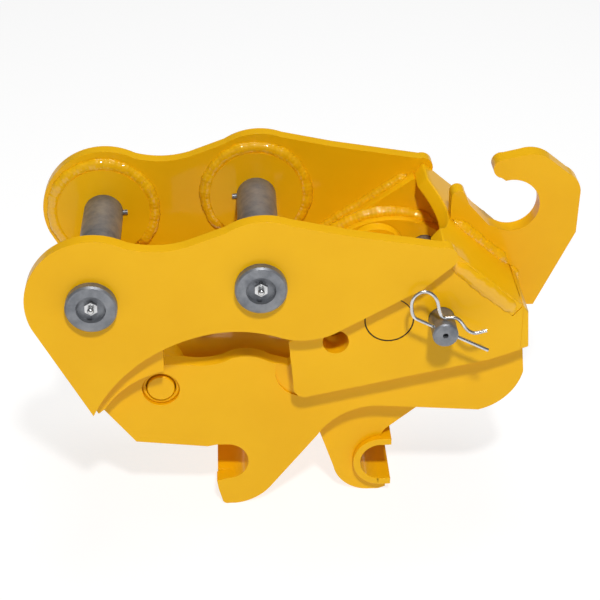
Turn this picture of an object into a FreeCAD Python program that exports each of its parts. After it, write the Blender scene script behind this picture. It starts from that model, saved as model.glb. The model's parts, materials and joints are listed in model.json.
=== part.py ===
"""Excavator quick coupler: a welded frame hung from two stick pins, a fixed jaw,
and a moving hook worked by a hydraulic cylinder, with a safety pin and its R-clip.

Frame: origin on the front stick pin's axis, at mid-width. +X runs towards the
lifting hook, +Y across the coupler towards the far ear plate, +Z up, with the
coupler standing on its two jaw tips and its hook. Millimetres.
"""
import FreeCAD, Part
import math
import os

from FreeCAD import Vector

os.makedirs("parts", exist_ok=True)

# ---- driving dimensions: widths, from the outside in -----------------------
HALF_WIDTH = 118.0          # outer face of an ear plate
EAR_T = 16.0
CHEEK_T = 20.0
JAW_T = 18.0
HOOK_T = 16.0
HOOK_SIDE_GAP = 2.0
BOSS_T = 6.0

EAR_IN = HALF_WIDTH - EAR_T
CHEEK_IN = EAR_IN - CHEEK_T
JAW_IN = CHEEK_IN - JAW_T
HOOK_OUT = JAW_IN - HOOK_SIDE_GAP
HOOK_IN = HOOK_OUT - HOOK_T

# ---- driving dimensions: pins and pivots in the X-Z plane ------------------
STICK_PIN_R = 22.5
BORE_CLEARANCE = 0.05
FRONT_PIN = (0.0, 0.0)
REAR_PIN = (175.0, 17.6)
PIN_HEAD_R = 27.0
PIN_HEAD_T = 10.0
PIN_STUB = 12.0             # pin beyond the far ear plate
BOSS_R = 53.0
KEY_R = 3.0                 # cross pin that keys a stick pin to its far boss
KEY_Y = HALF_WIDTH - EAR_T - BOSS_T

HOOK_PIVOT = (310.5, -35.2)
PIVOT_HEAD_R = 25.0
PIVOT_HEAD_GAP = 1.5        # open ring round the head in its cheek plate
PIVOT_PIN_R = 20.0
HUB_R = 32.0
HUB_BORE_R = 25.5
BUSH_T = 2.5

LOCK_PIN_R = 13.5
LOCK_HOLE_R = 14.0
LOCK_HOLE = (254.0, -61.0)
PARK_HOLE = (366.0, -35.0)
LOCK_PIN_OUT = 138.0        # near end of the safety pin, from mid-width
CLIP_Y = -128.0
CLIP_WIRE_R = 1.9

JAW_CENTRE = (136.0, -226.0)
SADDLE_R = 23.0             # takes a 45 mm bucket pin
SADDLE_T = 8.0
SADDLE_LEG = 12.0
HOOK_SADDLE = (309.0, -241.0)
HOOK_RING_OUT = 70.0
FLOOR_Z = -284.0

BASE_PIN = (65.0, -128.0)
BASE_PIN_R = 15.0
BASE_HOLE_R = 20.6
BASE_RING_GAP = 1.2
BASE_PIN_END = 80.5
ROD_ARM_R = 105.0
HOOK_TRAVEL = 25.0          # degrees
ROD_ARM_REST = 270.0 - HOOK_TRAVEL / 2.0
ROD_PIN_R = 15.0
ROD_EYE_BORE_R = 16.5       # the clearance of the linkage's open pivot
EYE_SAG = 1.2               # rod eye below the rod pin's centre at rest

# rear cross plate: a point on its outer face and the slope of that face
SLOPE_POINT = (382.0, 38.6)
SLOPE_DEG = 40.75
CROSS_T = 16.0
CROSS_TOP = -21.5
CROSS_LOW = 93.0
NOTCH_R = 102.0

LIFT_T = 20.0
LIFT_EYE = (450.0, 51.0)
LIFT_EYE_R = 30.5


def point(xz, y=0.0):
    return Vector(xz[0], y, xz[1])


def polar(centre, radius, degrees):
    a = math.radians(degrees)
    return (centre[0] + radius * math.cos(a), centre[1] + radius * math.sin(a))


def outline(start, *steps):
    """A closed wire in the X-Z plane. A step of two numbers is a line to that
    point; a step of four is an arc through the first point to the second."""
    edges, here = [], start
    for step in steps:
        end = step[-2:]
        if len(step) == 4:
            edges.append(Part.Arc(point(here), point(step[:2]), point(end)).toShape())
        else:
            edges.append(Part.LineSegment(point(here), point(end)).toShape())
        here = end
    if math.dist(here, start) > 1e-6:
        edges.append(Part.LineSegment(point(here), point(start)).toShape())
    return Part.Wire(edges)


def plate(wire, y_low, y_high):
    """The flat plate of one outline between two planes across the coupler."""
    solid = Part.Face(wire).extrude(Vector(0, y_high - y_low, 0))
    solid.translate(Vector(0, y_low, 0))
    return solid


def rod(centre, radius, y_low, y_high):
    return Part.makeCylinder(radius, y_high - y_low, point(centre, y_low), Vector(0, 1, 0))


def tube(centre, outer, inner, y_low, y_high):
    return rod(centre, outer, y_low, y_high).cut(rod(centre, inner, y_low, y_high))


def mirrored(solid):
    return solid.mirror(Vector(0, 0, 0), Vector(0, 1, 0))


def export(name, *solids):
    shape = solids[0] if len(solids) == 1 else Part.makeCompound(list(solids))
    for solid in solids:
        if not solid.isValid() or len(solid.Solids) != 1:
            raise ValueError(name + ": a piece is not one valid solid")
    shape.exportStep(os.path.join("parts", name + ".step"))


def export_pair(name, far_side):
    """A piece on the far side (+Y) and its mirror image on the near side."""
    export(name + "_far", far_side)
    export(name + "_near", mirrored(far_side))


# ---- frame ------------------------------------------------------------------
def slope_point(along, inward=0.0):
    """A point on the rear cross plate: along its slope, then into its thickness."""
    a = math.radians(SLOPE_DEG)
    return (SLOPE_POINT[0] + along * math.cos(a) - inward * math.sin(a),
            SLOPE_POINT[1] - along * math.sin(a) - inward * math.cos(a))


CHEEK_TOP = slope_point(-23.0, CROSS_T)
CHEEK_REAR = slope_point(CROSS_LOW, CROSS_T)
REAR_HEEL = slope_point(CROSS_LOW)
REAR_X = REAR_HEEL[0]
COVER_TOP = (REAR_X + 6.0, REAR_HEEL[1] - 7.0)
COVER_LOW = (REAR_X + 9.0, -73.0)
FRONT_EDGE = ((-64.0, -26.5), (2.0, -153.0))


def front_edge(z):
    """The X of the coupler's straight front edge at a height."""
    (x0, z0), (x1, z1) = FRONT_EDGE
    return x0 + (z - z0) * (x1 - x0) / (z1 - z0)


def ear_plate():
    wire = outline(FRONT_EDGE[0], (-47.5, 52.5, 38.0, 64.5), (67.0, 60.2, 100.0, 65.0),
                   (140.0, 80.0), (174.0, 91.6, 205.0, 87.0), (262.0, 74.5), (362.0, 57.5),
                   (377.0, 50.0, 374.0, 37.0), (343.0, 10.0), (252.0, -41.0),
                   (221.0, -48.5, 190.0, -43.0), (152.0, -36.0, 115.0, -39.5),
                   (47.0, -71.5, front_edge(-137.0), -137.0))
    solid = plate(wire, EAR_IN, HALF_WIDTH)
    for pin in (FRONT_PIN, REAR_PIN):
        solid = solid.cut(rod(pin, STICK_PIN_R + BORE_CLEARANCE, EAR_IN, HALF_WIDTH))
    return solid


def cheek_plate():
    wire = outline((204.0, -60.0), CHEEK_TOP, CHEEK_REAR, REAR_HEEL, (REAR_X, -76.0),
                   (420.0, -87.5), (226.0, -129.0), (213.0, -126.5, 209.0, -115.0))
    solid = plate(wire, CHEEK_IN, EAR_IN)
    solid = solid.cut(rod(HOOK_PIVOT, PIVOT_HEAD_R + PIVOT_HEAD_GAP, CHEEK_IN, EAR_IN))
    for hole in (LOCK_HOLE, PARK_HOLE):
        solid = solid.cut(rod(hole, LOCK_HOLE_R, CHEEK_IN, EAR_IN))
    return solid


def front_spacer():
    wire = outline((front_edge(-145.0), -145.0), (5.0, -139.0), (38.0, -106.0, 70.5, -92.5),
                   (70.5, -56.0), (front_edge(-56.0), -56.0))
    return plate(wire, CHEEK_IN, EAR_IN)


def jaw_plate():
    jx, jz = JAW_CENTRE
    wire = outline((2.0, -153.0), (35.0, -196.0), (114.0, -205.0),
                   (jx - SADDLE_LEG, jz + SADDLE_R), (jx, jz + SADDLE_R),
                   (jx + SADDLE_R, jz, jx, jz - SADDLE_R), (123.0, -252.5), (124.5, -263.0),
                   (129.0, -280.0), (131.5, -283.4, 136.0, FLOOR_Z), (144.0, FLOOR_Z),
                   (166.0, -277.0, 185.0, -260.0), (236.0, -194.0),
                   (262.0, -167.5, 305.0, -156.5), (415.0, -165.0),
                   (445.0, -148.0, 462.0, -116.0), (459.0, -84.0), (378.0, -14.0),
                   (326.0, -1.0, 236.0, -62.0), (222.0, -84.0), (204.0, -103.0), (184.0, -96.5),
                   (158.0, -88.5, 133.0, -95.5), (113.0, -98.7, 90.0, -97.0),
                   (front_edge(-95.0), -95.0))
    solid = plate(wire, JAW_IN, CHEEK_IN)
    solid = solid.cut(rod(BASE_PIN, BASE_HOLE_R, JAW_IN, CHEEK_IN))
    solid = solid.cut(rod(HOOK_PIVOT, PIVOT_PIN_R + BORE_CLEARANCE, JAW_IN, CHEEK_IN))
    for hole in (LOCK_HOLE, PARK_HOLE):
        solid = solid.cut(rod(hole, LOCK_HOLE_R, JAW_IN, CHEEK_IN))
    spot_face = rod((221.0, -110.0), 31.0, CHEEK_IN - 2.0, CHEEK_IN)
    return solid.cut(spot_face)


def saddle(centre, mouth, half_width, leg):
    """A half tube with straight lips. mouth is -1 when it opens towards -X."""
    cx, cz = centre
    inner, outer = SADDLE_R, SADDLE_R + SADDLE_T
    lip = cx + mouth * leg
    wire = outline((lip, cz + inner), (cx, cz + inner),
                   (cx - mouth * inner, cz, cx, cz - inner), (lip, cz - inner),
                   (lip, cz - outer), (cx, cz - outer),
                   (cx - mouth * outer, cz, cx, cz + outer), (lip, cz + outer))
    return plate(wire, -half_width, half_width)


def tie_plate(start, end, inset, thickness, half_width):
    """A plate across the coupler whose section runs from start to end, inset to
    the left of that direction."""
    length = math.dist(start, end)
    ux, uz = (end[0] - start[0]) / length, (end[1] - start[1]) / length
    nx, nz = -uz, ux
    near = [(p[0] + inset * nx, p[1] + inset * nz) for p in (start, end)]
    deep = [(p[0] + thickness * nx, p[1] + thickness * nz) for p in near]
    return plate(outline(near[0], near[1], deep[1], deep[0]), -half_width, half_width)


def rear_cross_plate():
    section = outline(slope_point(CROSS_TOP), slope_point(CROSS_LOW),
                      slope_point(CROSS_LOW, CROSS_T), slope_point(CROSS_TOP, CROSS_T))
    solid = plate(section, -EAR_IN, EAR_IN)
    a = math.radians(SLOPE_DEG)
    normal = Vector(math.sin(a), 0, math.cos(a))
    foot = point(slope_point(-NOTCH_R, CROSS_T + 5.0))
    return solid.cut(Part.makeCylinder(NOTCH_R, CROSS_T + 10.0, foot, normal))


def rear_cover_plate():
    return plate(outline(REAR_HEEL, COVER_TOP, COVER_LOW, (REAR_X, -76.0)), -EAR_IN, EAR_IN)


def lifting_hook():
    wire = outline(slope_point(2.5), (384.0, 60.0), (392.0, 69.5, 400.0, 62.0), (404.0, 53.0),
                   (426.0, 28.0), (435.0, 24.5), polar(LIFT_EYE, LIFT_EYE_R, -108.0),
                   polar(LIFT_EYE, LIFT_EYE_R, 0.0) + polar(LIFT_EYE, LIFT_EYE_R, 105.0),
                   (437.0, 84.0), (428.0, 96.0, 440.0, 105.5), (458.0, 109.5),
                   (476.0, 110.5, 489.0, 104.5), (510.0, 87.5), (521.0, 77.0, 524.0, 62.0),
                   (523.0, 17.0), (482.0, -73.0), COVER_LOW, COVER_TOP, REAR_HEEL)
    return plate(wire, -LIFT_T / 2.0, LIFT_T / 2.0)


def cylinder_lug():
    bx, bz = BASE_PIN
    wire = outline((bx - 30.0, bz - 26.0), (bx + 30.0, bz - 26.0), (bx + 30.0, bz + 4.0),
                   (bx, bz + 32.0, bx - 30.0, bz + 4.0))
    return plate(wire, JAW_IN - 14.0, JAW_IN).cut(
        rod(BASE_PIN, BASE_PIN_R + BORE_CLEARANCE, JAW_IN - 14.0, JAW_IN))


# ---- stick pins ---------------------------------------------------------------
def stick_pin(centre):
    head_face = -HALF_WIDTH - PIN_HEAD_T
    head = rod(centre, PIN_HEAD_R, head_face, -HALF_WIDTH)
    rim = [e for e in head.Edges if abs(e.BoundBox.YMax - head_face) < 1e-3 and e.Length > 100]
    head = head.makeChamfer(2.0, rim)
    head = head.cut(rod(centre, 15.5, head_face, head_face + 7.0))
    shaft = rod(centre, STICK_PIN_R, -HALF_WIDTH - 1.0, HALF_WIDTH + PIN_STUB)
    solid = head.fuse(shaft).removeSplitter().cut(rod(centre, 4.0, head_face, 8.0))
    grease_hole = Part.makeCylinder(3.0, STICK_PIN_R + 1.0, point(centre), Vector(0, 0, -1))
    key_hole = Part.makeCylinder(KEY_R + BORE_CLEARANCE, 80.0,
                                 Vector(centre[0] - 40.0, KEY_Y, centre[1]), Vector(1, 0, 0))
    slot = Part.makeBox(80.0, 8.4, 20.0, Vector(centre[0] - 40.0, HALF_WIDTH, centre[1] - 36.0))
    return solid.cut([grease_hole, key_hole, slot])


def hexagon(centre, across, y_low, y_high):
    corners = [polar(centre, across / math.sqrt(3.0), 60.0 * k + 30.0) for k in range(6)]
    return plate(outline(corners[0], *corners[1:]), y_low, y_high)


def grease_nipple(centre):
    seat = -HALF_WIDTH - PIN_HEAD_T + 7.0
    hexagon_part = hexagon(centre, 13.0, seat - 5.0, seat)
    neck = rod(centre, 3.4, seat - 7.5, seat - 5.0)
    ball = Part.makeSphere(3.6, point(centre, seat - 8.5))
    thread = rod(centre, 3.9, seat, seat + 6.0)
    return hexagon_part.fuse([neck, ball, thread]).removeSplitter()


def keeper_plate(centre):
    """A flat bar in the slot of the pin's stub, bolted to the far ear plate."""
    cx, cz = centre
    low, high = cz - 52.0, cz - 16.4
    wire = outline((cx - 14.0, low), (cx + 14.0, low), (cx + 14.0, high), (cx - 14.0, high))
    return plate(wire, HALF_WIDTH, HALF_WIDTH + 8.0).cut(
        rod((cx, cz - 40.0), 5.2, HALF_WIDTH, HALF_WIDTH + 8.0))


def keeper_bolt(centre):
    spot = (centre[0], centre[1] - 40.0)
    face = HALF_WIDTH + 8.0
    return hexagon(spot, 16.0, face, face + 6.4).fuse(
        rod(spot, 5.0, HALF_WIDTH, face)).removeSplitter()


# ---- moving hook ---------------------------------------------------------------
ROD_PIN = polar(HOOK_PIVOT, ROD_ARM_R, ROD_ARM_REST)


def hook_plate():
    sx, sz = HOOK_SADDLE
    px, pz = HOOK_PIVOT
    left, right = polar(HOOK_PIVOT, HUB_R, 150.0), polar(HOOK_PIVOT, HUB_R, -12.0)
    wire = outline(left, (px, pz + HUB_R) + right, (346.0, -88.0), (353.0, -150.0),
                   (349.5, -172.0), (318.0, -198.0),
                   (311.0, -206.0, sx, sz + SADDLE_R),
                   (sx - SADDLE_R, sz, sx, sz - SADDLE_R), (316.0, sz - SADDLE_R),
                   (316.0, FLOOR_Z + 3.0), (308.0, FLOOR_Z), (294.0, FLOOR_Z),
                   (268.5, -273.5, 256.0, -251.0),
                   (240.0, -203.0), (233.0, -115.0), (247.0, -66.0))
    solid = plate(wire, HOOK_IN, HOOK_OUT)
    solid = solid.cut(rod(HOOK_PIVOT, HUB_BORE_R, HOOK_IN, HOOK_OUT))
    solid = solid.cut(rod(ROD_PIN, ROD_PIN_R + BORE_CLEARANCE, HOOK_IN, HOOK_OUT))
    return solid.cut(saddle(HOOK_SADDLE, 1, HOOK_RING_OUT, SADDLE_LEG))


# ---- boss, key and retainers --------------------------------------------------
def pin_boss(centre):
    return tube(centre, BOSS_R, STICK_PIN_R + BORE_CLEARANCE, EAR_IN - BOSS_T, EAR_IN)


def key_span(centre, side):
    """The ends in X of the cross pin that sticks out to one side of a stick pin."""
    ends = (centre[0] - side * 20.0, centre[0] + side * 27.5)
    return min(ends), max(ends)


def key_pin(centre, side, radius):
    low, high = key_span(centre, side)
    return Part.makeCylinder(radius, high - low, Vector(low, KEY_Y, centre[1]), Vector(1, 0, 0))


def base_pin():
    solid = rod(BASE_PIN, BASE_PIN_R, -BASE_PIN_END, BASE_PIN_END)
    rims = [e for e in solid.Edges if abs(abs(e.BoundBox.YMax) - BASE_PIN_END) < 1e-3
            and e.BoundBox.YLength < 1e-3]
    return solid.makeChamfer(1.0, rims)


def base_pin_ring():
    """A ring welded into the jaw plate's round hole, a little below its face."""
    return tube(BASE_PIN, BASE_HOLE_R, BASE_PIN_R + BASE_RING_GAP, JAW_IN, CHEEK_IN - 4.0)


def hook_pivot_pin():
    """A shaft between the jaw plates with a larger round head in each cheek plate."""
    solid = rod(HOOK_PIVOT, PIVOT_PIN_R, -CHEEK_IN, CHEEK_IN)
    for low in (CHEEK_IN, -EAR_IN + 0.5):
        solid = solid.fuse(rod(HOOK_PIVOT, PIVOT_HEAD_R, low, low + CHEEK_T - 0.5))
    return solid.removeSplitter()


# ---- hydraulic cylinder ---------------------------------------------------------
ROD_EYE = (ROD_PIN[0], ROD_PIN[1] - EYE_SAG)
CLOSED_LENGTH = math.dist(BASE_PIN, ROD_EYE)
STROKE_DIRECTION = Vector(ROD_EYE[0] - BASE_PIN[0], 0, ROD_EYE[1] - BASE_PIN[1]).normalize()
UPWARD = Vector(-STROKE_DIRECTION.z, 0, STROKE_DIRECTION.x)
BARREL_R = 30.0
BORE_R = 25.0
ROD_R = 12.5
BARREL_START = 32.0
BARREL_END = 158.0
PORTS = (46.0, 137.0)
PORT_BOSS_R = 11.0
PORT_BORE_R = 5.7
PORT_FACE = 43.0
PISTON = (60.0, 84.0)


def bar(radius, start, end):
    """A round bar on the cylinder's own axis, measured from the base pin."""
    foot = point(BASE_PIN) + STROKE_DIRECTION * start
    return Part.makeCylinder(radius, end - start, foot, STROKE_DIRECTION)


def ring(outer, inner, start, end):
    return bar(outer, start, end).cut(bar(inner, start, end))


def port_bar(radius, station, low, high):
    foot = point(BASE_PIN) + STROKE_DIRECTION * station + UPWARD * low
    return Part.makeCylinder(radius, high - low, foot, UPWARD)


def cylinder_base():
    solid = rod(BASE_PIN, 26.0, -48.0, 48.0).fuse(bar(BARREL_R, 0.0, BARREL_START))
    return solid.removeSplitter().cut(rod(BASE_PIN, BASE_PIN_R + BORE_CLEARANCE, -49.0, 49.0))


def cylinder_barrel():
    solid = ring(BARREL_R, BORE_R, BARREL_START, BARREL_END)
    for station in PORTS:
        solid = solid.cut(port_bar(3.5, station, 0.0, BARREL_R + 2.0))
        solid = solid.cut(port_bar(PORT_BORE_R, station, BARREL_R - 2.5, BARREL_R + 2.0))
    return solid


def port_boss(station):
    solid = port_bar(PORT_BOSS_R, station, 20.0, PORT_FACE).cut(bar(BARREL_R, 20.0, 170.0))
    return solid.cut(port_bar(PORT_BORE_R, station, 20.0, PORT_FACE))


def cylinder_gland():
    solid = bar(BARREL_R, BARREL_END, BARREL_END + 16.0)
    solid = solid.fuse(bar(BORE_R, BARREL_END - 14.0, BARREL_END)).removeSplitter()
    solid = solid.cut(bar(ROD_R + BORE_CLEARANCE, BARREL_END - 15.0, BARREL_END + 17.0))
    return solid.cut(bar(17.0, BARREL_END + 11.0, BARREL_END + 17.0))


def piston():
    solid = ring(BORE_R - BORE_CLEARANCE, 10.0, *PISTON)
    return solid.cut(ring(BORE_R + 1.0, 21.5, PISTON[0] + 8.0, PISTON[0] + 16.0))


def piston_rod():
    solid = bar(ROD_R, PISTON[1], CLOSED_LENGTH - 34.0).fuse(bar(10.0, PISTON[0] - 8.0, PISTON[1]))
    return solid.removeSplitter()


def piston_nut():
    outside = bar(16.0, PISTON[0] - 10.0, PISTON[0])
    return outside.cut(bar(10.0, PISTON[0] - 11.0, PISTON[0] + 1.0))


def rod_eye():
    solid = rod(ROD_EYE, 27.0, -20.0, 20.0)
    solid = solid.fuse(bar(17.0, CLOSED_LENGTH - 34.0, CLOSED_LENGTH)).removeSplitter()
    return solid.cut(rod(ROD_EYE, ROD_EYE_BORE_R, -21.0, 21.0))


# ---- safety pin and R-clip -------------------------------------------------------
CLIP_SLOPE_DEG = 27.5
CLIP_AXIS = Vector(math.cos(math.radians(CLIP_SLOPE_DEG)), 0,
                   -math.sin(math.radians(CLIP_SLOPE_DEG)))
CLIP_SPRING_LEG = ((330.5, -8.0), (333.0, 7.0), (343.5, 13.0), (354.0, 6.5), (359.0, -8.0),
                   (364.0, -18.4), (376.0, -19.0), (384.0, -26.0), (390.5, -34.6),
                   (397.5, -38.0), (404.0, -37.0), (410.5, -35.4))


def safety_pin():
    solid = rod(PARK_HOLE, LOCK_PIN_R, -LOCK_PIN_OUT, EAR_IN + 1.0)
    near = [e for e in solid.Edges if abs(e.BoundBox.YMax + LOCK_PIN_OUT) < 1e-3]
    solid = solid.makeChamfer(1.5, near)
    head = rod(PARK_HOLE, 20.0, EAR_IN + 1.0, EAR_IN + 12.0)
    rim = [e for e in head.Edges if abs(e.BoundBox.YMin - EAR_IN - 12.0) < 1e-3]
    solid = solid.fuse(head.makeChamfer(2.0, rim)).removeSplitter()
    solid = solid.cut(rod(PARK_HOLE, 3.0, -LOCK_PIN_OUT, -LOCK_PIN_OUT + 8.0))
    foot = point(PARK_HOLE, CLIP_Y) - CLIP_AXIS * 20.0
    return solid.cut(Part.makeCylinder(CLIP_WIRE_R + 0.1, 40.0, foot, CLIP_AXIS))


def r_clip():
    tail = point(PARK_HOLE, CLIP_Y) + CLIP_AXIS * 53.0
    bend = point(PARK_HOLE, CLIP_Y) - CLIP_AXIS * 33.0
    leg = Part.LineSegment(tail, bend).toShape()
    curve = Part.BSplineCurve()
    free = len(CLIP_SPRING_LEG)
    curve.interpolate(Points=[bend] + [point(p, CLIP_Y) for p in CLIP_SPRING_LEG],
                      Tangents=[CLIP_AXIS * -1.0] + [Vector()] * free,
                      TangentFlags=[True] + [False] * free)
    path = Part.Wire([leg, curve.toShape()])
    section = Part.Wire(Part.Circle(tail, CLIP_AXIS, CLIP_WIRE_R).toShape())
    return Part.Wire(path).makePipeShell([section], True, False)


# ---- build and export -------------------------------------------------------------
def export_frame():
    export_pair("ear_plate", ear_plate())
    export_pair("cheek_plate", cheek_plate())
    export_pair("front_spacer", front_spacer())
    export_pair("jaw_plate", jaw_plate())
    export_pair("cylinder_lug", cylinder_lug())
    export("rear_cross_plate", rear_cross_plate())
    export("rear_cover_plate", rear_cover_plate())
    export("lifting_hook", lifting_hook())
    export("fixed_jaw_saddle", saddle(JAW_CENTRE, -1, JAW_IN, SADDLE_LEG))
    front = [(front_edge(z), z) for z in (-60.0, -94.8, -97.0, -151.0)]
    export("front_cross_plate", tie_plate(front[0], front[1], 3.0, 12.0, CHEEK_IN))
    export("front_lower_plate", tie_plate(front[2], front[3], 3.0, 12.0, JAW_IN))
    export("nose_plate", tie_plate((4.0, -155.6), (33.5, -194.0), 3.0, 10.0, JAW_IN))
    export("belly_plate", tie_plate((49.0, -197.8), (119.0, -206.6), 2.0, 8.0, JAW_IN))
    export("jaw_tip_plate", tie_plate((142.0, -279.0), (182.0, -260.5), 3.0, 8.0, JAW_IN))
    export("jaw_back_plate", tie_plate((187.5, -256.8), (230.0, -201.8), 4.0, 10.0, JAW_IN))


def export_stick_pins():
    for name, centre, side in (("front", FRONT_PIN, 1), ("rear", REAR_PIN, -1)):
        groove = key_pin(centre, side, KEY_R + BORE_CLEARANCE)
        export(name + "_boss_near", mirrored(pin_boss(centre)))
        export(name + "_boss_far", pin_boss(centre).cut(groove))
        export(name + "_stick_pin", stick_pin(centre))
        export(name + "_key_pin", key_pin(centre, side, KEY_R))
        export(name + "_keeper_plate", keeper_plate(centre))
    export("grease_nipples", grease_nipple(FRONT_PIN), grease_nipple(REAR_PIN))
    export("keeper_bolts", keeper_bolt(FRONT_PIN), keeper_bolt(REAR_PIN))


def export_moving_hook():
    export_pair("hook_plate", hook_plate())
    export("hook_saddle", saddle(HOOK_SADDLE, 1, HOOK_RING_OUT, SADDLE_LEG))
    bush_r = PIVOT_PIN_R + BUSH_T
    export("hook_hub", tube(HOOK_PIVOT, HUB_BORE_R, bush_r, -JAW_IN + 0.6, JAW_IN - 0.6))
    bush = tube(HOOK_PIVOT, bush_r, PIVOT_PIN_R + BORE_CLEARANCE, 22.0, JAW_IN - 1.0)
    export_pair("hub_bush", bush)
    export("hook_back_plate", tie_plate((350.0, -168.0), (347.5, -95.0), 3.0, 10.0, HOOK_IN))
    export("hook_front_plate", tie_plate((238.5, -190.0), (254.5, -246.0), 3.0, 10.0, HOOK_IN))
    export("rod_pin", rod(ROD_PIN, ROD_PIN_R, -HOOK_OUT + 0.5, HOOK_OUT - 0.5))
    collar = tube(ROD_PIN, 21.0, ROD_PIN_R + BORE_CLEARANCE, 20.8, HOOK_IN)
    export_pair("rod_pin_collar", collar)


def export_cylinder():
    export("cylinder_base", cylinder_base())
    export("cylinder_barrel", cylinder_barrel())
    export("port_boss_base_end", port_boss(PORTS[0]))
    export("port_boss_rod_end", port_boss(PORTS[1]))
    export("cylinder_gland", cylinder_gland())
    export("rod_wiper", ring(17.0, ROD_R + BORE_CLEARANCE, BARREL_END + 11.0, BARREL_END + 16.0))
    export("piston", piston())
    export("piston_seal", ring(BORE_R - BORE_CLEARANCE, 21.5, PISTON[0] + 8.0, PISTON[0] + 16.0))
    export("piston_rod", piston_rod())
    export("piston_nut", piston_nut())
    export("rod_eye", rod_eye())


export_frame()
export_stick_pins()
export("hook_pivot_pin", hook_pivot_pin())
export("base_pin", base_pin())
export_pair("base_pin_ring", base_pin_ring())
export_moving_hook()
export_cylinder()
export("safety_pin", safety_pin())
export("r_clip", r_clip())
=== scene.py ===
import bpy
import json
import math
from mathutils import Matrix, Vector


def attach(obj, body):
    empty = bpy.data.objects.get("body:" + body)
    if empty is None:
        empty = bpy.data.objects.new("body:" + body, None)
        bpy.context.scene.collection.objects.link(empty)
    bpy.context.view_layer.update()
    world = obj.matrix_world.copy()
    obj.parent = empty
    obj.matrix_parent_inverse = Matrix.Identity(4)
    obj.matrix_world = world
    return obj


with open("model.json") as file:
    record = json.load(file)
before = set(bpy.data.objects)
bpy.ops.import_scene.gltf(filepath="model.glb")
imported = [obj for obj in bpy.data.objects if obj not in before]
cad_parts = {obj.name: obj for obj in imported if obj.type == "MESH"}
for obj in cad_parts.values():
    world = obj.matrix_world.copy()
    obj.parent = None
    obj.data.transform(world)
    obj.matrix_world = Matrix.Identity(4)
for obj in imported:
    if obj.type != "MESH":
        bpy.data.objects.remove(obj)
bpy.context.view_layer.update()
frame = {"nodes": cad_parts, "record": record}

nodes = frame["nodes"]
record = frame["record"]

# ---- driving dimensions, in the CAD's millimetres ------------------------------
MM = 0.001


def in_plane(pos_m):
    """A record position as (X, Z) in millimetres."""
    return (pos_m[0] / MM, pos_m[2] / MM)


mount_at = {m["name"]: in_plane(m["pos_m"]) for m in record["mounts"]}
FRONT_PIN = mount_at["front_stick_pin"]
REAR_PIN = mount_at["rear_stick_pin"]
HOOK_PIVOT = (310.5, -35.2)
EAR_INNER = 102.0           # Y of an ear plate's inner face
CHEEK_INNER = 82.0          # Y of a cheek plate's inner face
LIFT_HALF = 10.0            # half the lifting hook's thickness
SLOPE_POINT = (382.0, 38.6)  # on the rear cross plate's sloping face
SLOPE_DEG = 40.75
BOSS_WELD_R = 57.0
LOBE = ((327.0, -99.0), 99.0)
SPACER_ARC = ((77.0, -183.0), 86.0)
RING_GAP_R = 25.8           # middle of the open ring round the pivot pin's head
RING_GAP_DEPTH = 1.0
# tube radius of the dark ring that paints the shade in the pivot pin's ring gap
RING_SHADE_TUBE_R = 0.9
FLOOR_Z = -284.2
FLOOR_HALF = 6000.0

PLATE_EDGE = 1.8            # thick paint rounds the edges of the plates
FINE_EDGE = 0.5
STEEL_EDGE = 0.4

SIDES = ((-1, "near"), (1, "far"))   # the sign of Y, and the word in a piece's name


# ---- small node-tree helpers ------------------------------------------------
def new_material(name):
    material = bpy.data.materials.new(name)
    material.use_nodes = True
    return material, material.node_tree, material.node_tree.nodes["Principled BSDF"]


def node(tree, kind, **values):
    made = tree.nodes.new(kind)
    for key, value in values.items():
        if hasattr(made, key):
            setattr(made, key, value)
        else:
            made.inputs[key.replace("_", " ")].default_value = value
    return made


def object_noise(tree, scale, detail=3.0, roughness=0.5, stretch=None):
    coords = tree.nodes.new("ShaderNodeTexCoord")
    noise = node(tree, "ShaderNodeTexNoise", Scale=scale, Detail=detail, Roughness=roughness)
    source = coords.outputs["Object"]
    if stretch:
        mapping = tree.nodes.new("ShaderNodeMapping")
        mapping.inputs["Scale"].default_value = stretch
        tree.links.new(source, mapping.inputs["Vector"])
        source = mapping.outputs["Vector"]
    tree.links.new(source, noise.inputs["Vector"])
    return noise.outputs["Fac"]


def ramp(tree, source, low, high, low_color, high_color):
    made = tree.nodes.new("ShaderNodeValToRGB")
    made.color_ramp.elements[0].position = low
    made.color_ramp.elements[0].color = low_color
    made.color_ramp.elements[1].position = high
    made.color_ramp.elements[1].color = high_color
    tree.links.new(source, made.inputs["Fac"])
    return made.outputs["Color"]


def grey(value):
    return (value, value, value, 1.0)


def bump(tree, shader, layers):
    """Stack bumps of (height, strength, distance in metres) on a shader."""
    normal = None
    for height, strength, distance in layers:
        made = node(tree, "ShaderNodeBump", Strength=strength, Distance=distance)
        tree.links.new(height, made.inputs["Height"])
        if normal is not None:
            tree.links.new(normal, made.inputs["Normal"])
        normal = made.outputs["Normal"]
    tree.links.new(normal, shader.inputs["Normal"])


# ---- materials ----------------------------------------------------------------
def enamel_material(name, coat, lumps):
    material, tree, shader = new_material(name)
    clouds = object_noise(tree, 9.0, 4.0, 0.6)
    color = ramp(tree, clouds, 0.35, 0.70, (0.86, 0.450, 0.001, 1), (0.90, 0.49, 0.003, 1))
    tree.links.new(color, shader.inputs["Base Color"])
    shader.inputs["Roughness"].default_value = 0.42
    shader.inputs["Coat Weight"].default_value = coat
    shader.inputs["Coat Roughness"].default_value = 0.06
    shader.inputs["Specular IOR Level"].default_value = 0.12
    runs = object_noise(tree, 28.0, 2.0, 0.4)
    peel = object_noise(tree, 340.0, 1.0, 0.4)
    layers = [(runs, 0.35, 0.0009), (peel, 0.12, 0.0002)]
    if lumps:
        layers.append((object_noise(tree, 150.0, 2.0, 0.5), 0.6, 0.0015))
    bump(tree, shader, layers)
    return material


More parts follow.
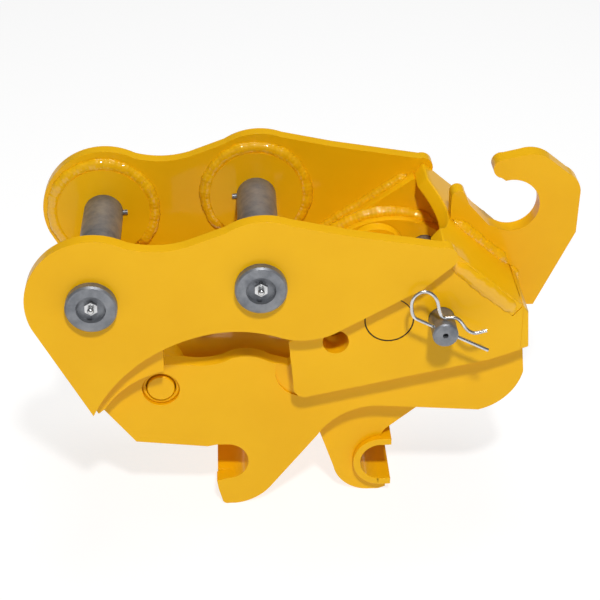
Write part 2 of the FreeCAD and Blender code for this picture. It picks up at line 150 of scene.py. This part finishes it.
def steel_material(name, dark, light, roughness, scale=60.0, metallic=0.85, scratch=None):
    material, tree, shader = new_material(name)
    blotch = object_noise(tree, scale, 6.0, 0.65)
    color = ramp(tree, blotch, 0.30, 0.72, dark, light)
    tree.links.new(color, shader.inputs["Base Color"])
    rough = ramp(tree, blotch, 0.25, 0.75, grey(roughness + 0.12), grey(roughness - 0.08))
    tree.links.new(rough, shader.inputs["Roughness"])
    shader.inputs["Metallic"].default_value = metallic
    fine = object_noise(tree, scale * 8.0, 3.0, 0.6, scratch)
    bump(tree, shader, ((fine, 0.25, 0.0003),))
    return material


def rubber_material():
    material, _, shader = new_material("seal_rubber")
    shader.inputs["Base Color"].default_value = (0.02, 0.02, 0.02, 1.0)
    shader.inputs["Roughness"].default_value = 0.6
    return material


enamel = enamel_material("yellow_enamel", 0.22, False)
weld_enamel = enamel_material("yellow_enamel_on_welds", 1.0, True)
finishes = {
    "yellow_enamel": enamel,
    "worn_steel": steel_material("worn_steel", (0.15, 0.16, 0.18, 1), (0.30, 0.31, 0.33, 1),
                                 0.42, 60.0, 0.55, (1.0, 0.15, 1.0)),
    "zinc_plate": steel_material("zinc_plate", (0.50, 0.51, 0.52, 1), (0.78, 0.78, 0.78, 1),
                                 0.24, 90.0, 0.95),
    "machined_steel": steel_material("machined_steel", (0.32, 0.32, 0.33, 1), (0.5, 0.5, 0.5, 1),
                                     0.32),
    "chromed_rod": steel_material("chromed_rod", (0.70, 0.71, 0.72, 1), (0.82, 0.82, 0.82, 1),
                                  0.10, 20.0, 1.0),
    "bronze_bush": steel_material("bronze_bush", (0.45, 0.27, 0.08, 1), (0.66, 0.43, 0.16, 1),
                                  0.32),
    "seal_rubber": rubber_material(),
}
slot_of = {s["node"]: s["material_slot"] for s in record["subparts"]}


# ---- finish of the CAD pieces ---------------------------------------------------
def smooth_shading_group():
    """Shades every face smooth in a modifier, so that the CAD mesh itself stays as it is."""
    group = bpy.data.node_groups.new("smooth_shading", "GeometryNodeTree")
    group.interface.new_socket("Geometry", in_out="INPUT", socket_type="NodeSocketGeometry")
    group.interface.new_socket("Geometry", in_out="OUTPUT", socket_type="NodeSocketGeometry")
    start = group.nodes.new("NodeGroupInput")
    shade = group.nodes.new("GeometryNodeSetShadeSmooth")
    end = group.nodes.new("NodeGroupOutput")
    group.links.new(start.outputs["Geometry"], shade.inputs["Geometry"])
    group.links.new(shade.outputs["Geometry"], end.inputs["Geometry"])
    return group


smooth_shading = smooth_shading_group()


def soften(obj, width):
    obj.modifiers.new("smooth_shading", "NODES").node_group = smooth_shading
    if obj.name == "r_clip":
        return                      # thin round wire has no edge to soften
    weld = obj.modifiers.new("join", "WELD")
    weld.merge_threshold = 0.00002
    edge = obj.modifiers.new("soft_edge", "BEVEL")
    edge.width = width
    edge.segments = 2
    edge.limit_method = "ANGLE"
    edge.angle_limit = math.radians(38.0)
    edge.use_clamp_overlap = True
    edge.harden_normals = False
    normals = obj.modifiers.new("even_normals", "WEIGHTED_NORMAL")
    normals.keep_sharp = False
    normals.mode = "FACE_AREA_WITH_ANGLE"
    normals.weight = 60


def edge_width(name):
    """How far a node's edges are rounded, in metres."""
    if slot_of[name] != "yellow_enamel":
        return STEEL_EDGE * MM
    if "saddle" in name or "pivot" in name:
        return FINE_EDGE * MM
    return PLATE_EDGE * MM


for name, obj in nodes.items():
    for place in obj.material_slots:
        place.material = finishes[slot_of[name]]
    soften(obj, edge_width(name))


# ---- weld beads -------------------------------------------------------------------
BEAD_SIDES = 12
FLAT_BOSS = (0.0, 1.0, 0.0, 0.72)   # axis across the coupler, and what is kept along it
FLAT_END = (0.0, 1.0, 0.0, 0.5)


def step_on_path(points, lengths, at):
    """The point and the smoothed direction at a distance along a broken line."""
    leg = 0
    while leg < len(points) - 2 and lengths[leg + 1] < at:
        leg += 1
    a, b = points[leg], points[leg + 1]
    t = (at - lengths[leg]) / max(1e-9, lengths[leg + 1] - lengths[leg])
    before = points[leg - 1] if leg else a
    after = points[leg + 2] if leg + 2 < len(points) else b
    blend = (b - before).normalized() * (1 - t) + (after - a).normalized() * t
    return a.lerp(b, t), blend.normalized()


def bead_ring(here, along, radius, squash):
    """One cross-section of a bead, flattened along squash's axis by its factor."""
    side = along.cross(Vector((0.13, 0.97, 0.21))).normalized()
    lift = along.cross(side).normalized()
    ring = []
    for j in range(BEAD_SIDES):
        angle = 2.0 * math.pi * j / BEAD_SIDES
        offset = (side * math.cos(angle) + lift * math.sin(angle)) * radius
        if squash:
            axis = Vector(squash[:3])
            offset -= axis * (offset.dot(axis) * (1.0 - squash[3]))
        ring.append((here + offset) * MM)
    return ring


def skin(rings):
    """The faces of a closed tube over its rings, with both ends capped."""
    faces = []
    for i in range(len(rings) - 1):
        n = i + 1
        for j in range(BEAD_SIDES):
            m = (j + 1) % BEAD_SIDES
            faces.append((i * BEAD_SIDES + j, i * BEAD_SIDES + m,
                          n * BEAD_SIDES + m, n * BEAD_SIDES + j))
    faces.append(tuple(range(BEAD_SIDES)))
    last = (len(rings) - 1) * BEAD_SIDES
    faces.append(tuple(last + j for j in reversed(range(BEAD_SIDES))))
    return faces


def bead(name, path, radius, body, pitch=3.2, squash=None, ripple=0.12):
    """A weld bead along a path in millimetres, with a ripple at every pitch.

    Slower waves vary its width, so that it looks laid by hand, and its ends taper.
    """
    points = [Vector(p) for p in path]
    lengths = [0.0]
    for a, b in zip(points, points[1:]):
        lengths.append(lengths[-1] + (b - a).length)
    total = lengths[-1]
    count = max(8, int(total / (pitch / 3.0)))
    seed = sum(ord(c) for c in name) * 0.37
    rings = []
    for k in range(count + 1):
        at = total * k / count
        here, along = step_on_path(points, lengths, at)
        wave = (at / pitch) % 1.0
        swell = 0.94 + ripple * math.sin(math.pi * wave) + 0.07 * math.sin(at * 0.11 + seed)
        swell += 0.05 * math.sin(at * 0.37 + seed * 1.7)
        end = min(1.0, 0.35 + min(at, total - at) / (1.6 * radius))
        rings.append(bead_ring(here, along, radius * swell * end, squash))
    mesh = bpy.data.meshes.new(name)
    mesh.from_pydata([tuple(v) for ring in rings for v in ring], [], skin(rings))
    mesh.validate()
    for face in mesh.polygons:
        face.use_smooth = True
    mesh.materials.append(weld_enamel)
    obj = bpy.data.objects.new(name, mesh)
    bpy.context.scene.collection.objects.link(obj)
    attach(obj, body)


def arc(centre, radius, start, stop, y, steps=40):
    """Points on an arc in the X-Z plane, between two angles in degrees."""
    out = []
    for k in range(steps + 1):
        a = math.radians(start + (stop - start) * k / steps)
        out.append((centre[0] + radius * math.cos(a), y, centre[1] + radius * math.sin(a)))
    return out


def slope(along, y, out=0.0):
    """A point on the rear cross plate: down its slope, then out of its face."""
    a = math.radians(SLOPE_DEG)
    return (SLOPE_POINT[0] + along * math.cos(a) + out * math.sin(a), y,
            SLOPE_POINT[1] - along * math.sin(a) + out * math.cos(a))


def weld_side(side, tag):
    """The welds on one side of the frame. side is -1 near and 1 far."""
    near = side < 0
    ear = side * (EAR_INNER - 0.5)
    cheek = side * CHEEK_INNER
    for centre, which in ((FRONT_PIN, "front"), (REAR_PIN, "rear")):
        ring = arc(centre, BOSS_WELD_R, -48.0, 228.0, side * EAR_INNER, 72)
        bead("bead_boss_" + which + "_" + tag, ring, 8.0, "frame", 5.0, FLAT_BOSS)
    bead("bead_lobe_" + tag, arc(*LOBE, 152.0, 60.0, cheek), 8.0, "frame", 5.0)
    hook = [slope(s, side * LIFT_HALF, -1.0) for s in (6.0, 30.0, 60.0, 88.0)]
    bead("bead_hook_" + tag, hook, 9.0 if near else 5.5, "frame", 5.5)
    foot = [(x, side * LIFT_HALF, z) for x, z in ((453.0, -24.0), (458.6, -32.0), (460.8, -68.0))]
    bead("bead_hook_foot_" + tag, foot, 5.0, "frame")
    top = 0.0 if near else 12.0
    end = [slope(s, side * (EAR_INNER - 1.0), -9.5) for s in (top, 30.0, 60.0, 90.5)]
    bead("bead_slope_end_" + tag, end, 9.2, "frame", 14.0, FLAT_END, 0.05)
    brow = [(x, ear, z) for x, z in ((214.0, -53.0), (280.0, -8.5), (348.0, 37.5))]
    bead("bead_brow_" + tag, brow, 6.5, "frame", 5.0)
    spacer = [(-1.0, cheek, -146.0)] + arc(*SPACER_ARC, 147.0, 97.0, cheek, 12)
    bead("bead_spacer_" + tag, spacer, 3.0, "frame")
    bead("bead_shelf_" + tag, [(x, ear, -57.0) for x in (-30.0, 20.0, 66.0)], 9.0, "frame", 5.0)
    corner = [(x, side * (CHEEK_INNER + 0.5), z)
              for x, z in ((447.0, -80.0), (452.0, -78.5), (457.0, -77.5))]
    bead("bead_corner_" + tag, corner, 4.0, "frame")


for side, tag in SIDES:
    weld_side(side, tag)


def gap_shadow(name, centre, radius, y):
    """Painted shade: a dark ring in the narrow gap round a pin's painted head, standing in for the
    shadow there.
    """
    bpy.ops.mesh.primitive_torus_add(major_radius=radius * MM, minor_radius=RING_SHADE_TUBE_R * MM,
                                     major_segments=96, minor_segments=8,
                                     location=(centre[0] * MM, y * MM, centre[1] * MM),
                                     rotation=(math.radians(90.0), 0.0, 0.0))
    obj = bpy.context.object
    obj.name = name
    for face in obj.data.polygons:
        face.use_smooth = True
    obj.data.materials.append(gap_shade_paint)
    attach(obj, "frame")


# A near-black material for the painted shade in the pivot pin's ring gap.
def ring_shade_material():
    material, _, shader = new_material("gap_shade_paint")
    shader.inputs["Base Color"].default_value = (0.03, 0.015, 0.005, 1.0)
    shader.inputs["Roughness"].default_value = 0.9
    return material


# Painted shade: a dark torus in each pivot ring gap stands for the shadow inside it.
gap_shade_paint = ring_shade_material()
for side, tag in SIDES:
    gap_shadow("painted_ring_shade_pivot_" + tag, HOOK_PIVOT, RING_GAP_R, side * (EAR_INNER - RING_GAP_DEPTH))


# ---- floor, light, camera ------------------------------------------------------------
def pale_floor():
    floor_mesh = bpy.data.meshes.new("floor")
    half, z = FLOOR_HALF * MM, FLOOR_Z * MM
    floor_mesh.from_pydata([(-half, -half, z), (half, -half, z), (half, half, z), (-half, half, z)],
                           [], [(0, 1, 2, 3)])
    floor = bpy.data.objects.new("floor", floor_mesh)
    bpy.context.scene.collection.objects.link(floor)
    material, _, shader = new_material("floor")
    shader.inputs["Base Color"].default_value = (0.30, 0.30, 0.30, 1.0)
    shader.inputs["Roughness"].default_value = 0.9
    shader.inputs["Specular IOR Level"].default_value = 0.1
    shader.inputs["Emission Color"].default_value = (1.0, 1.0, 1.0, 1.0)
    shader.inputs["Emission Strength"].default_value = 0.79
    floor.data.materials.append(material)


def area_light(name, place, target, size, power):
    light = bpy.data.lights.new(name, "AREA")
    light.shape = "RECTANGLE"
    light.size, light.size_y = size
    light.energy = power
    obj = bpy.data.objects.new(name, light)
    obj.location = place
    obj.rotation_euler = (Vector(target) - Vector(place)).to_track_quat("-Z", "Y").to_euler()
    bpy.context.scene.collection.objects.link(obj)


def pale_world():
    """A white backdrop above the floor that itself gives only a faint light."""
    world = bpy.data.worlds.new("studio")
    world.use_nodes = True
    tree = world.node_tree
    tree.nodes["Background"].inputs["Color"].default_value = (1.0, 1.0, 1.0, 1.0)
    seen = tree.nodes.new("ShaderNodeLightPath")
    strength = tree.nodes.new("ShaderNodeMapRange")
    strength.inputs["To Min"].default_value = 0.08
    strength.inputs["To Max"].default_value = 0.95
    tree.links.new(seen.outputs["Is Camera Ray"], strength.inputs["Value"])
    tree.links.new(strength.outputs["Result"], tree.nodes["Background"].inputs["Strength"])
    bpy.context.scene.world = world


def place_camera():
    """The photograph's viewing angle: from the front, about 30 degrees down."""
    data = bpy.data.cameras.new("camera")
    data.sensor_fit = "HORIZONTAL"
    data.angle = math.radians(21.15)
    camera = bpy.data.objects.new("camera", data)
    camera.location = (0.1478, -1.5618, 0.8245)
    camera.rotation_euler = (math.radians(90.0 - 29.68), 0.0, math.radians(-2.673))
    bpy.context.scene.collection.objects.link(camera)
    bpy.context.scene.camera = camera


# Metres and watts: a small key for the photograph's crisp shadows, and two wide soft lights.
LIT_POINT = (0.2, 0.0, -0.05)
pale_floor()
area_light("key", (0.41, -1.96, 2.47), LIT_POINT, (0.26, 0.26), 67.0)
area_light("fill", (-1.3, -2.5, 0.9), LIT_POINT, (2.0, 1.6), 1.5)
area_light("top", (0.45, 0.75, 2.3), LIT_POINT, (1.6, 1.2), 24.0)
pale_world()
place_camera()
bpy.context.scene.view_settings.view_transform = "Standard"
